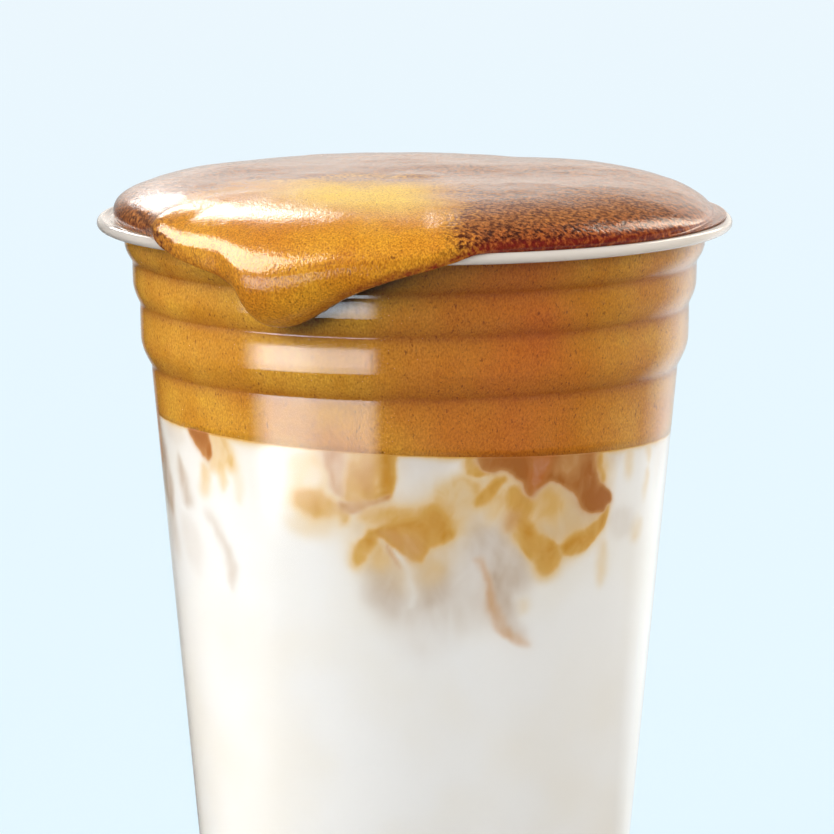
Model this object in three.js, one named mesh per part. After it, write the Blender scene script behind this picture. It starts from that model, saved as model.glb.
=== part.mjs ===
// An iced latte in its clear plastic cup: milk below, whipped coffee foam above. The foam stands
// in a dome over the rim and one tongue of it runs down the outside of the cup.
// Millimetres, +Z up. The origin is the centre of the cup's foot, on the surface it stands on.
// Azimuth 0 looks at -Y, the front, and grows towards +X. A section is a list of [radius, height].

import * as THREE from "three";
import { ParametricGeometry } from "three/addons/geometries/ParametricGeometry.js";

// Cup wall: a straight taper, then three rounded steps below the rim.
const WALL = 0.6;
const FOOT = { radius: 31.55, height: 3.4 };
const TAPER = 0.0963;
const BAND_TAPER = 0.02;
const STEPS = [
  { height: 97.8, rise: 5, from: 40.4, to: 42.3 },
  { height: 107.4, rise: 4, from: 42.15, to: 43.5 },
  { height: 114.1, rise: 3.2, from: 43.35, to: 44.8 },
];
const CREASE_DEPTH = 0.4;
const SHOULDER_STATIONS = [0.22, 0.5, 1];

// Cup base: a ring foot round a raised floor.
const FLOOR_RISE = 2.6;
const FLOOR_RADIUS = 25.6;
const RING = { inner: 27.2, outer: 29.6 };

// Rim: a flat flange that ends in a rolled bead.
const COLLAR_TOP = 118.9;
const FLANGE = { inner: 45.45, top: 120.75, thickness: 0.7 };
const BEAD = { radius: 0.85, centre: 48.15, height: 120.15 };
const CUP_SEGMENTS = 60;

// Contents: milk up to a slightly tilted level, and foam from there over the rim.
const GAP = 0.3;
const LEVEL = { height: 89.5, slope: -0.04 };
const MILK_COLUMNS = 60;

// Foam dome: flat on top and round at the shoulder, fuller on the left than on the right.
const DOME_TOP = 127.45;
const DOME_FLATNESS = 5.4;
const SHOULDER = { left: 0.45, right: 0.76 };
const EDGE = { radius: 48.4, height: 122.1, overhang: 0.6 };
const BARE_FLANGE = { azimuth: -92, width: 35, depth: 2 };
const SKIRT = { azimuth: 90, width: 28, depth: 2.4 };

// Overflow: a thin sheet over the bead, and the tongue in its middle that reaches the wall again.
// Each falls off to its left and right with its own width in degrees and its own sharpness.
const SPILL_AZIMUTH = -26.5;
const SHEET = { drop: 4.9, left: [21.5, 2], right: [30, 2.6] };
const TONGUE = { drop: 7, left: [7.2, 4], right: [13.5, 1.8], bulge: 1.7, lean: 7 };
const SPILL_START = 0.3;
const SPILL_THICKNESS = 0.45;
const CREEP = 1.6;

// The foam's columns stand closer together across the overflow.
const SPILL_ARC = { from: -76, to: 20, columns: 39 };
const REST_COLUMNS = 33;
const CONTACT_POINTS = 9;
const UNDERSIDE_POINTS = 3;
const LOWER_POINTS = 4;
const UPPER_POINTS = 8;

const radians = THREE.MathUtils.degToRad;
const mix = THREE.MathUtils.lerp;
const smooth = THREE.MathUtils.smoothstep;

// Outer radius of the cup's wall at a height.
function wallRadius(height) {
  let radius = FOOT.radius + TAPER * (height - FOOT.height);
  for (const step of STEPS) {
    const above = height - step.height;
    if (above < 0) continue;
    const turn = Math.min(1, above / step.rise) * Math.PI / 2;
    radius = mix(step.from, step.to, Math.sin(turn)) + BAND_TAPER * Math.max(0, above - step.rise);
  }
  return radius;
}

// Heights where the wall's outline turns, from one height up to the collar.
function wallStations(from) {
  const stations = [from];
  for (const step of STEPS) {
    stations.push(step.height - CREASE_DEPTH, step.height);
    for (const share of SHOULDER_STATIONS) stations.push(step.height + share * step.rise);
  }
  stations.push(COLLAR_TOP);
  return stations;
}

function wallSection(from, inset) {
  return wallStations(from).map((height) => [wallRadius(height) - inset, height]);
}

// The base's outline from the axis to the foot of the wall, moved inwards and up by an inset.
function baseSection(inset) {
  const slope = inset * 0.6;
  return [
    [0, FLOOR_RISE + inset],
    [FLOOR_RADIUS + slope, FLOOR_RISE + inset],
    [RING.inner + slope, inset],
    [RING.outer - slope, inset],
    [FOOT.radius - 0.35 - inset, FOOT.height * 0.35 + slope],
  ];
}

// An arc of the bead, or of a line round it, between two angles in degrees.
function beadArc(offset, from, to, count) {
  const points = [];
  for (let i = 0; i <= count; i++) {
    const angle = radians(mix(from, to, i / count));
    const radius = BEAD.radius + offset;
    points.push([BEAD.centre + radius * Math.cos(angle), BEAD.height + radius * Math.sin(angle)]);
  }
  return points;
}

function rimSection() {
  const underside = FLANGE.top - FLANGE.thickness;
  return [
    [FLANGE.inner - 0.3, underside - 0.45],
    [FLANGE.inner + 0.25, underside],
    ...beadArc(0, 187, 495, 7).map(([r, z], i) => [r, i === 0 ? underside : z]),
    [FLANGE.inner, FLANGE.top],
    [FLANGE.inner - 0.7, FLANGE.top - 0.25],
    [FLANGE.inner - 1.05, FLANGE.top - 0.95],
  ].map(([r, z]) => [r, Math.min(z, BEAD.height + BEAD.radius)]);
}

function makeCup() {
  const outline = [
    ...baseSection(0),
    ...wallSection(FOOT.height, 0),
    ...rimSection(),
    ...wallSection(FOOT.height + WALL, WALL).reverse(),
    ...baseSection(WALL).reverse(),
  ].map(([r, z]) => new THREE.Vector2(r, z));
  return new THREE.LatheGeometry(outline, CUP_SEGMENTS).rotateX(Math.PI / 2);
}

// A closed skin from one section for each azimuth, each from the axis below to the axis above.
function roundSkin(sectionAt, azimuths) {
  const sections = azimuths.map(sectionAt);
  const rows = sections[0].length - 1;
  const columns = azimuths.length - 1;
  const place = (u, v, target) => {
    const column = Math.round(u * columns);
    const [r, z] = sections[column % columns][Math.round(v * rows)];
    const turn = radians(azimuths[column]);
    target.set(r * Math.sin(turn), -r * Math.cos(turn), z);
  };
  return new ParametricGeometry(place, columns, rows);
}

function evenAzimuths(from, to, count) {
  return Array.from({ length: count + 1 }, (_, i) => mix(from, to, i / count));
}

// Height of the level between milk and foam, higher on the left.
function levelHeight(radius, azimuth) {
  return LEVEL.height + LEVEL.slope * radius * Math.sin(radians(azimuth));
}

function milkSection(azimuth) {
  const inset = WALL + GAP;
  const edge = levelHeight(wallRadius(LEVEL.height), azimuth) - GAP / 2;
  return [
    ...baseSection(inset),
    [wallRadius(FOOT.height + inset) - inset, FOOT.height + inset],
    [wallRadius(edge) - inset, edge],
    [0, LEVEL.height - GAP / 2],
  ];
}

// Bell of height 1 at the spill's middle, with its own width to each side.
function spillBell(shape, azimuth) {
  const away = azimuth - SPILL_AZIMUTH;
  const [width, sharpness] = away < 0 ? shape.left : shape.right;
  return Math.exp(-Math.pow(Math.abs(away) / width, sharpness));
}

// Bell of height 1 round a shape's azimuth.
function bump(shape, azimuth) {
  const away = (((azimuth - shape.azimuth + 540) % 360) - 180) / shape.width;
  return Math.exp(-away * away);
}

// The way that the foam's underside takes: up the inside of the collar, over the flange and down
// past the bead.
const inside = wallRadius(COLLAR_TOP) - WALL - GAP;
const rimWay = new THREE.Path();
rimWay.moveTo(inside, COLLAR_TOP);
rimWay.lineTo(FLANGE.inner - 1.35, FLANGE.top - 0.85);
rimWay.lineTo(FLANGE.inner - 0.85, FLANGE.top + 0.05);
rimWay.lineTo(FLANGE.inner, FLANGE.top + GAP);
rimWay.lineTo(BEAD.centre - 0.85, FLANGE.top + GAP);
rimWay.absarc(BEAD.centre, BEAD.height, BEAD.radius + GAP, Math.PI / 2, 0, true);
rimWay.lineTo(BEAD.centre + BEAD.radius + GAP, COLLAR_TOP);
const RIM_WAY_LENGTH = rimWay.getLength();
const FLANGE_START = rimWay.curves.slice(0, 3).reduce((sum, line) => sum + line.getLength(), 0);

function foamSection(azimuth) {
  const tongue = spillBell(TONGUE, azimuth);
  const drop = TONGUE.drop * tongue + SHEET.drop * spillBell(SHEET, azimuth);
  const spilling = smooth(drop, SPILL_START, 2.4);
  const edgeRadius = EDGE.radius - BARE_FLANGE.depth * bump(BARE_FLANGE, azimuth) * (1 - spilling);

  // The foam leaves the rim where it ends on the flange, or past the bead under the spill.
  const dryLength = FLANGE_START + edgeRadius - EDGE.overhang - FLANGE.inner;
  const bend = (RIM_WAY_LENGTH - dryLength) / CREEP;
  const spilt = Math.max(0, drop - SPILL_START);
  const end = (dryLength + CREEP * Math.min(spilt, bend)) / RIM_WAY_LENGTH;
  const below = Math.max(0, spilt - bend);
  const leave = rimWay.getPointAt(end);
  const along = rimWay.getTangentAt(end);

  // Lowest point of the edge. Under the tongue it leans back to the wall.
  const lean = smooth(below, 1, TONGUE.lean);
  const tip = new THREE.Vector2(
    leave.x + 0.3 * along.x - SPILL_THICKNESS * along.y,
    leave.y + 0.3 * along.y + SPILL_THICKNESS * along.x - below,
  );
  const outermost = tip.x + 0.15 + 0.35 * spilling + TONGUE.bulge * tongue;
  tip.x = mix(tip.x, wallRadius(tip.y) + 1.1, lean);

  // Widest point of the edge, where the dome's skin turns under.
  const widest = new THREE.Vector2(
    Math.max(edgeRadius, outermost) - SKIRT.depth * bump(SKIRT, azimuth),
    mix(EDGE.height, tip.y + 2.2 + 0.66 * below, spilling),
  );

  const section = [[0, LEVEL.height + GAP / 2]];
  const level = levelHeight(wallRadius(LEVEL.height), azimuth) + GAP / 2;
  section.push(...wallSection(level, WALL + GAP));
  for (let i = 1; i <= CONTACT_POINTS; i++) {
    section.push(rimWay.getPointAt(end * i / CONTACT_POINTS).toArray());
  }
  const hollow = new THREE.Vector2(tip.x - 0.6 * lean, mix(tip.y, leave.y, 0.35));
  const underside = new THREE.QuadraticBezierCurve(leave, hollow, tip);
  for (let i = 1; i <= UNDERSIDE_POINTS; i++) {
    const point = underside.getPoint(i / UNDERSIDE_POINTS);
    section.push([Math.max(point.x, wallRadius(point.y) + 0.4 * lean), point.y]);
  }
  for (let i = 1; i <= LOWER_POINTS; i++) {
    const turn = Math.PI / 2 * (1 - i / LOWER_POINTS);
    section.push([
      mix(tip.x, widest.x, Math.cos(turn)),
      mix(widest.y, tip.y, Math.sin(turn)),
    ]);
  }
  const fullness = 2 * mix(SHOULDER.left, SHOULDER.right, (1 + Math.sin(radians(azimuth))) / 2);
  for (let i = 1; i <= UPPER_POINTS; i++) {
    const turn = Math.PI / 2 * i / UPPER_POINTS;
    section.push([
      i === UPPER_POINTS ? 0 : widest.x * Math.pow(Math.cos(turn), 2 / DOME_FLATNESS),
      mix(widest.y, DOME_TOP, Math.pow(Math.sin(turn), fullness)),
    ]);
  }
  return section;
}

function foamAzimuths() {
  const spill = evenAzimuths(SPILL_ARC.from, SPILL_ARC.to, SPILL_ARC.columns);
  const rest = evenAzimuths(SPILL_ARC.to, SPILL_ARC.from + 360, REST_COLUMNS);
  return [...spill, ...rest.slice(1)];
}

function solid(name, geometry, finish) {
  const mesh = new THREE.Mesh(geometry, new THREE.MeshStandardMaterial(finish));
  mesh.name = name;
  return mesh;
}

const latte = new THREE.Group();
latte.add(
  solid("cup", makeCup(), {
    color: 0xf2f5f6,
    roughness: 0.08,
    metalness: 0,
    transparent: true,
    opacity: 0.35,
  }),
  solid("milk", roundSkin(milkSection, evenAzimuths(0, 360, MILK_COLUMNS)), {
    color: 0xf3f2ee,
    roughness: 0.35,
    metalness: 0,
  }),
  solid("coffee_foam", roundSkin(foamSection, foamAzimuths()), {
    color: 0xc4802c,
    roughness: 0.5,
    metalness: 0,
  }),
);

export default latte;
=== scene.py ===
import math

import bpy
import numpy as np
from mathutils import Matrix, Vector


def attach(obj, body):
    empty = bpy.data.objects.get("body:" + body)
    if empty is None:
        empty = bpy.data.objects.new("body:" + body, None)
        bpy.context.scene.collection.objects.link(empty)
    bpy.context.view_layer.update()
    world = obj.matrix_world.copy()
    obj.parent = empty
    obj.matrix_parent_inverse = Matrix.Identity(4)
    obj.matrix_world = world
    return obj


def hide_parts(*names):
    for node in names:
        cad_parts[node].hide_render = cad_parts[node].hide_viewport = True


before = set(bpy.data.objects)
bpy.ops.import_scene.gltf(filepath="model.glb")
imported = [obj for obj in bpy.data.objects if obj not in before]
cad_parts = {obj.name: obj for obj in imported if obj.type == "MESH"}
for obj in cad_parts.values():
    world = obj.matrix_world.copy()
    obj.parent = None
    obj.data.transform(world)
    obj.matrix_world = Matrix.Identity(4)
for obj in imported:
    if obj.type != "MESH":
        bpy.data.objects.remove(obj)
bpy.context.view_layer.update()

# Sizes are millimetres, as in the part, and turned to metres where a mesh is made.
# Azimuth 0 looks at -Y, the front, and grows towards +X. A section is a list of [radius, height].
MM = 0.001

# Cup wall and steps
WALL = 0.6
FOOT_RADIUS, FOOT_HEIGHT = 31.55, 3.4
TAPER = 0.0963
BAND_TAPER = 0.02
CREASE_REACH = 0.7
# Each step's start, rise, and radius at its start and end
STEPS = [(97.8, 5.0, 40.4, 42.3), (107.4, 4.0, 42.15, 43.5), (114.1, 3.2, 43.35, 44.8)]
FLOOR_RISE, FLOOR_RADIUS = 2.6, 25.6
RING_INNER, RING_OUTER = 27.2, 29.6

# Cup rim
COLLAR_TOP = 118.9
FLANGE_INNER, FLANGE_TOP, FLANGE_THICKNESS = 45.45, 120.75, 0.7
BEAD_RADIUS, BEAD_CENTRE, BEAD_HEIGHT = 0.85, 48.15, 120.15
BEAD_JOIN = 0.9
# Where the flange turns down into the cup: mm inwards and down from its inner edge
THROAT = [(0.7, 0.25), (1.05, 0.95)]
RIM_LINES, LINE_WIDTH, LINE_DEPTH = (47.0, 46.2), 0.32, 0.12
RIM_START, RIM_INNER = 119.3, 45.0
CUP_SEGMENTS = 216
WALL_SPACING = 2.5

# Contents, which reach a little way into the wall, so that no air shows between
REACH = 0.08
LEVEL_HEIGHT, LEVEL_SLOPE = 89.5, -0.04
MARBLING_FLOOR = 52.0

# Foam dome, edge and overflow
DOME_TOP, DOME_FLATNESS = 127.45, 5.4
SHOULDER_LEFT, SHOULDER_RIGHT = 0.45, 0.76
EDGE_RADIUS, EDGE_HEIGHT, EDGE_OVERHANG = 48.4, 122.1, 0.6
BARE_FLANGE = {"azimuth": -92, "width": 35, "depth": 2.0}
SKIRT = {"azimuth": 90, "width": 28, "depth": 2.4}
SPILL_AZIMUTH = -26.5
# How far the two parts of the overflow run down, and their width and sharpness to each side
SHEET = {"drop": 4.9, "left": (21.5, 2.0), "right": (30.0, 2.6)}
TONGUE = {"drop": 7.0, "left": (7.2, 4.0), "right": (13.5, 1.8)}
TONGUE_BULGE, TONGUE_LEAN, TONGUE_CLEARANCE = 1.7, 7.0, 0.9
SPILL_START, SPILL_FULL, SPILL_THICKNESS, CREEP = 0.3, 2.4, 0.45, 1.6
TIP_REACH, LIP_REACH = 0.3, (0.15, 0.5)
LIP_RISE, LIP_SHARE = 2.2, 0.66
SWELL_SINK, SWELL, RIPPLE = 0.15, 0.30, 0.05


def linear(hex_colour):
    """Linear RGBA of an sRGB hex colour such as "C8892F"."""
    parts = [int(hex_colour[i:i + 2], 16) / 255 for i in (0, 2, 4)]
    return [c / 12.92 if c <= 0.04045 else ((c + 0.055) / 1.055) ** 2.4 for c in parts] + [1.0]


def mix(a, b, share):
    return a + (b - a) * share


def smooth(value, low, high):
    """Smooth step from 0 at low to 1 at high."""
    share = np.clip((value - low) / (high - low), 0.0, 1.0)
    return share * share * (3 - 2 * share)


class Grain:
    """Smooth random values in space, from -1 to 1, from a seeded lattice that repeats."""

    def __init__(self, seed, cells=32):
        self.cells = cells
        self.lattice = np.random.default_rng(seed).uniform(-1, 1, (cells, cells, cells))

    def at(self, places, size):
        """Values at an array of places, for blobs of about this size in mm."""
        scaled = np.asarray(places) / size
        low = np.floor(scaled).astype(int)
        share = scaled - low
        share = share * share * (3 - 2 * share)
        total = 0
        for corner in range(8):
            step = np.array([corner & 1, corner >> 1 & 1, corner >> 2])
            weight = np.prod(np.where(step, share, 1 - share), axis=-1)
            cell = (low + step) % self.cells
            total = total + weight * self.lattice[cell[..., 0], cell[..., 1], cell[..., 2]]
        return total

    def layered(self, places, size, layers=3):
        """The same with finer and fainter layers added."""
        return sum(self.at(np.asarray(places) + 7.3 * k, size / 2 ** k) / 2 ** k for k in range(layers))


# The cup's outline


def stepped_radius(height):
    """Outer radius of the cup's wall at a height, with sharp creases."""
    radius = FOOT_RADIUS + TAPER * (height - FOOT_HEIGHT)
    for start, rise, low, high in STEPS:
        above = height - start
        turn = np.clip(above / rise, 0, 1) * math.pi / 2
        stepped = mix(low, high, np.sin(turn)) + BAND_TAPER * np.maximum(0, above - rise)
        radius = np.where(above >= 0, stepped, radius)
    return radius


def wall_radius(height):
    """The same with the creases softened, as film drawn over a mould has them."""
    offsets = np.linspace(-1, 1, 11)
    weights = 1.15 - np.abs(offsets)
    near = [stepped_radius(np.asarray(height) + CREASE_REACH * offset) for offset in offsets]
    return sum(weight * radius for weight, radius in zip(weights, near)) / weights.sum()


# Where the wall needs points: mm from a step's crease, and shares of a step's height
CREASE_OFFSETS = (-0.8, -0.55, -0.35, -0.15, 0.05, 0.25, 0.45, 0.7)
STEP_SHARES = (0.24, 0.34, 0.46, 0.6, 0.76, 0.9, 1.05)


def wall_stations(low, high, spacing):
    """Heights from low to high, close together round each step."""
    stations = [low, high]
    for start, rise, _, _ in STEPS:
        stations += [start + offset for offset in CREASE_OFFSETS]
        stations += [start + rise * share for share in STEP_SHARES]
    stations += list(np.arange(low, high, spacing))
    inside = sorted(h for h in set(round(s, 4) for s in stations) if low <= h <= high)
    return [h for i, h in enumerate(inside) if i == 0 or h - inside[i - 1] > 0.05]


def wall_section(low, high, inset, spacing):
    return [[float(wall_radius(h)) - inset, h] for h in wall_stations(low, high, spacing)]


def base_section(inset):
    """Outline of the base from the axis to the foot of the wall, moved in and up by an inset."""
    slope = inset * 0.6
    return [
        [0.0, FLOOR_RISE + inset],
        [FLOOR_RADIUS + slope, FLOOR_RISE + inset],
        [RING_INNER + slope, inset],
        [RING_OUTER - slope, inset],
        [FOOT_RADIUS - 0.35 - inset, FOOT_HEIGHT * 0.35 + slope],
    ]


def foot_section(inset, rise, corner):
    """Outline of the base and the start of the wall above it, with rounded corners."""
    height = FOOT_HEIGHT + rise
    return rounded(base_section(inset) + [[float(wall_radius(height)) - inset, height]], corner)


def rounded(section, radius, steps=4):
    """The same open outline with its corners rounded."""
    points = [np.array(section[0], float)]
    for before, corner, after in zip(section, section[1:], section[2:]):
        corner = np.array(corner, float)
        into = np.array(before) - corner
        out = np.array(after) - corner
        reach = min(radius, 0.45 * np.linalg.norm(into), 0.45 * np.linalg.norm(out))
        start = corner + into / np.linalg.norm(into) * reach
        end = corner + out / np.linalg.norm(out) * reach
        for i in range(steps + 1):
            share = i / steps
            points.append((1 - share) ** 2 * start + 2 * share * (1 - share) * corner + share ** 2 * end)
    points.append(np.array(section[-1], float))
    return [list(map(float, p)) for p in points]


def arc(centre, radius, start, end, count):
    turns = np.radians(np.linspace(start, end, count + 1))
    return [[centre[0] + radius * math.cos(t), centre[1] + radius * math.sin(t)] for t in turns]


def rim_section():
    """Collar, flange with two fine moulded lines on top, and rolled bead, from outside to inside."""
    underside = FLANGE_TOP - FLANGE_THICKNESS
    outline = rounded([
        [float(wall_radius(COLLAR_TOP)), COLLAR_TOP],
        [FLANGE_INNER - 0.3, underside - 0.45],
        [FLANGE_INNER + 0.25, underside],
        [BEAD_CENTRE - BEAD_JOIN, underside],
    ], 0.35)[1:]
    outline += arc((BEAD_CENTRE, BEAD_HEIGHT), BEAD_RADIUS, 200, 490, 26)
    top = [[BEAD_CENTRE - BEAD_JOIN, FLANGE_TOP + 0.02]]
    for line in RIM_LINES:
        top += [[line + LINE_WIDTH / 2, FLANGE_TOP], [line, FLANGE_TOP - LINE_DEPTH]]
        top += [[line - LINE_WIDTH / 2, FLANGE_TOP]]
    top += [[FLANGE_INNER, FLANGE_TOP]]
    top += [[FLANGE_INNER - inwards, FLANGE_TOP - down] for inwards, down in THROAT]
    top += [[float(wall_radius(COLLAR_TOP)) - WALL, COLLAR_TOP]]
    return outline + rounded(top, 0.25, 3)[:-1]


def cup_section():
    """The cup's closed outline, from the axis below, up the outside and back down the inside."""
    outer = foot_section(0, 1, 0.8)
    inner = foot_section(WALL, 1.6, 0.6)
    up = wall_section(FOOT_HEIGHT + 2.2, COLLAR_TOP, 0, WALL_SPACING)
    down = wall_section(FOOT_HEIGHT + 2.8, COLLAR_TOP, WALL, WALL_SPACING)
    return outer + up + rim_section() + down[::-1] + inner[::-1]


# Meshes


def node(tree, kind, inputs=None, **settings):
    """Adds a node and sets its properties. An input is a value, an output of another node, or the
    other node itself, which stands for its first output in use."""
    made = tree.nodes.new(kind)
    for name, value in settings.items():
        setattr(made, name, value)
    for socket, source in (inputs or {}).items():
        if isinstance(source, bpy.types.Node):
            source = next(output for output in source.outputs if output.enabled)
        if isinstance(source, bpy.types.NodeSocket):
            tree.links.new(source, made.inputs[socket])
        else:
            made.inputs[socket].default_value = source
    return made


def mesh_object(name, vertices, faces):
    mesh = bpy.data.meshes.new(name)
    mesh.from_pydata(vertices, [], faces)
    mesh.update()
    made = bpy.data.objects.new(name, mesh)
    bpy.context.scene.collection.objects.link(made)
    return made


def turning_tree():
    """Geometry nodes that turn a piece's outline round the Z axis into a closed skin."""
    tree = bpy.data.node_groups.new("turned from its outline", "GeometryNodeTree")
    tree.interface.new_socket("Outline", in_out="INPUT", socket_type="NodeSocketGeometry")
    tree.interface.new_socket("Outline Points", in_out="INPUT", socket_type="NodeSocketInt")
    tree.interface.new_socket("Segments", in_out="INPUT", socket_type="NodeSocketInt")
    tree.interface.new_socket("Material", in_out="INPUT", socket_type="NodeSocketMaterial")
    tree.interface.new_socket("Skin", in_out="OUTPUT", socket_type="NodeSocketGeometry")
    given = node(tree, "NodeGroupInput").outputs
    columns = node(tree, "ShaderNodeMath", {0: given["Segments"], 1: 1.0}, operation="ADD")
    grid = node(tree, "GeometryNodeMeshGrid", {
        "Vertices X": columns,
        "Vertices Y": given["Outline Points"],
    })
    # A point's row in the grid is its point of the outline, and its column is its turn.
    index = node(tree, "GeometryNodeInputIndex")
    share = node(tree, "ShaderNodeMath", {0: index, 1: given["Outline Points"]}, operation="DIVIDE")
    column = node(tree, "ShaderNodeMath", {0: share}, operation="FLOOR")
    row = node(tree, "ShaderNodeMath", {0: index, 1: given["Outline Points"]}, operation="MODULO")
    point = node(tree, "GeometryNodeSampleIndex", {
        "Geometry": given["Outline"],
        "Value": node(tree, "GeometryNodeInputPosition"),
        "Index": row,
    }, data_type="FLOAT_VECTOR", domain="POINT")
    part = node(tree, "ShaderNodeMath", {0: column, 1: given["Segments"]}, operation="DIVIDE")
    angle = node(tree, "ShaderNodeMath", {0: part, 1: 2 * math.pi}, operation="MULTIPLY")
    turned = node(tree, "ShaderNodeVectorRotate", {
        "Vector": point,
        "Angle": angle,
    }, rotation_type="Z_AXIS")
    placed = node(tree, "GeometryNodeSetPosition", {"Geometry": grid, "Position": turned})
    closed = node(tree, "GeometryNodeMergeByDistance", {"Geometry": placed, "Distance": 1e-6})
    soft = node(tree, "GeometryNodeSetShadeSmooth", {"Geometry": closed})
    real = node(tree, "GeometryNodeRealizeInstances", {"Geometry": soft})
    coated = node(tree, "GeometryNodeSetMaterial", {"Geometry": real, "Material": given["Material"]})
    node(tree, "NodeGroupOutput", {"Skin": coated})
    return tree


def with_nodes(name, carrier, tree, inputs):
    """The plain mesh that geometry nodes make of a carrier object, which is then removed."""
    modifier = carrier.modifiers.new(tree.name, "NODES")
    modifier.node_group = tree
    for item in tree.interface.items_tree:
        if item.in_out == "INPUT" and item.name in inputs:
            modifier[item.identifier] = inputs[item.name]
    bpy.context.view_layer.update()
    evaluated = carrier.evaluated_get(bpy.context.evaluated_depsgraph_get())
    mesh = bpy.data.meshes.new_from_object(evaluated)
    mesh.name = name
    bpy.data.objects.remove(carrier)
    made = bpy.data.objects.new(name, mesh)
    bpy.context.scene.collection.objects.link(made)
    return made


def enclosed_volume(mesh):
    """Signed volume of a closed mesh: negative if its faces point inwards."""
    mesh.calc_loop_triangles()
    corners = np.empty(len(mesh.vertices) * 3)
    mesh.vertices.foreach_get("co", corners)
    corners = corners.reshape(-1, 3)
    triangles = np.empty(len(mesh.loop_triangles) * 3, int)
    mesh.loop_triangles.foreach_get("vertices", triangles)
    a, b, c = corners[triangles.reshape(-1, 3)].transpose(1, 0, 2)
    return float(np.sum(np.cross(a, b) * c) / 6)


def turned_piece(name, section, segments, material):
    outline = mesh_object(name + "_outline", [(r * MM, 0, z * MM) for r, z in section], [])
    made = with_nodes(name, outline, turning_tree(), {
        "Outline Points": len(section),
        "Segments": segments,
        "Material": material,
    })
    if enclosed_volume(made.data) < 0:
        made.data.flip_normals()
    return made


def finish_in_two(cup, wall_finish, rim_finish):
    """One finish for the cup's wall and one for its flange and bead."""
    cup.data.materials.clear()
    cup.data.materials.append(wall_finish)
    cup.data.materials.append(rim_finish)
    for face in cup.data.polygons:
        across = math.hypot(face.center.x, face.center.y)
        in_rim = face.center.z > RIM_START * MM and across > RIM_INNER * MM
        face.material_index = 1 if in_rim else 0


def round_skin(name, radii, heights, azimuths, material):
    """A closed skin from an array of sections, [azimuth, row], from the axis below to the axis above."""
    columns, rows = radii.shape
    turns = np.radians(azimuths)[:, None]
    x = radii * np.sin(turns) * MM
    y = -radii * np.cos(turns) * MM
    places = np.stack([x, y, heights * MM], axis=-1)
    rings = places[:, 1:-1].reshape(-1, 3)
    inner = rows - 2
    vertices = list(map(tuple, rings)) + [tuple(places[0, 0]), tuple(places[0, -1])]
    below, above = len(rings), len(rings) + 1
    faces = []
    for c in range(columns):
        this, other = c * inner, (c + 1) % columns * inner
        faces.append((below, other, this))
        for r in range(inner - 1):
            faces.append((this + r, other + r, other + r + 1, this + r + 1))
        faces.append((this + inner - 1, other + inner - 1, above))
    made = mesh_object(name, vertices, faces)
    made.data.polygons.foreach_set("use_smooth", [True] * len(faces))
    made.data.materials.append(material)
    if enclosed_volume(made.data) < 0:
        made.data.flip_normals()
    return made


def give(piece, name, values):
    """A named value for each point of a round skin, from an array laid out as its sections."""
    flat = np.concatenate([values[:, 1:-1].ravel(), [values[:, 0].mean(), values[:, -1].mean()]])
    piece.data.attributes.new(name, "FLOAT", "POINT").data.foreach_set("value", flat.astype(np.float32))


def surface_places(radii, heights, azimuths):
    turns = np.radians(azimuths)[:, None]
    return np.stack([radii * np.sin(turns), -radii * np.cos(turns), heights], axis=-1)


# Milk


def level_height(radius, azimuths):
    return LEVEL_HEIGHT + LEVEL_SLOPE * radius * np.sin(np.radians(azimuths))


MILK_COLUMNS = 640
MILK_ROWS = 118
# Rows of its top, as shares of the way out from the axis
LEVEL_ROWS = (0.985, 0.8, 0.4, 0.0)

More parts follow.
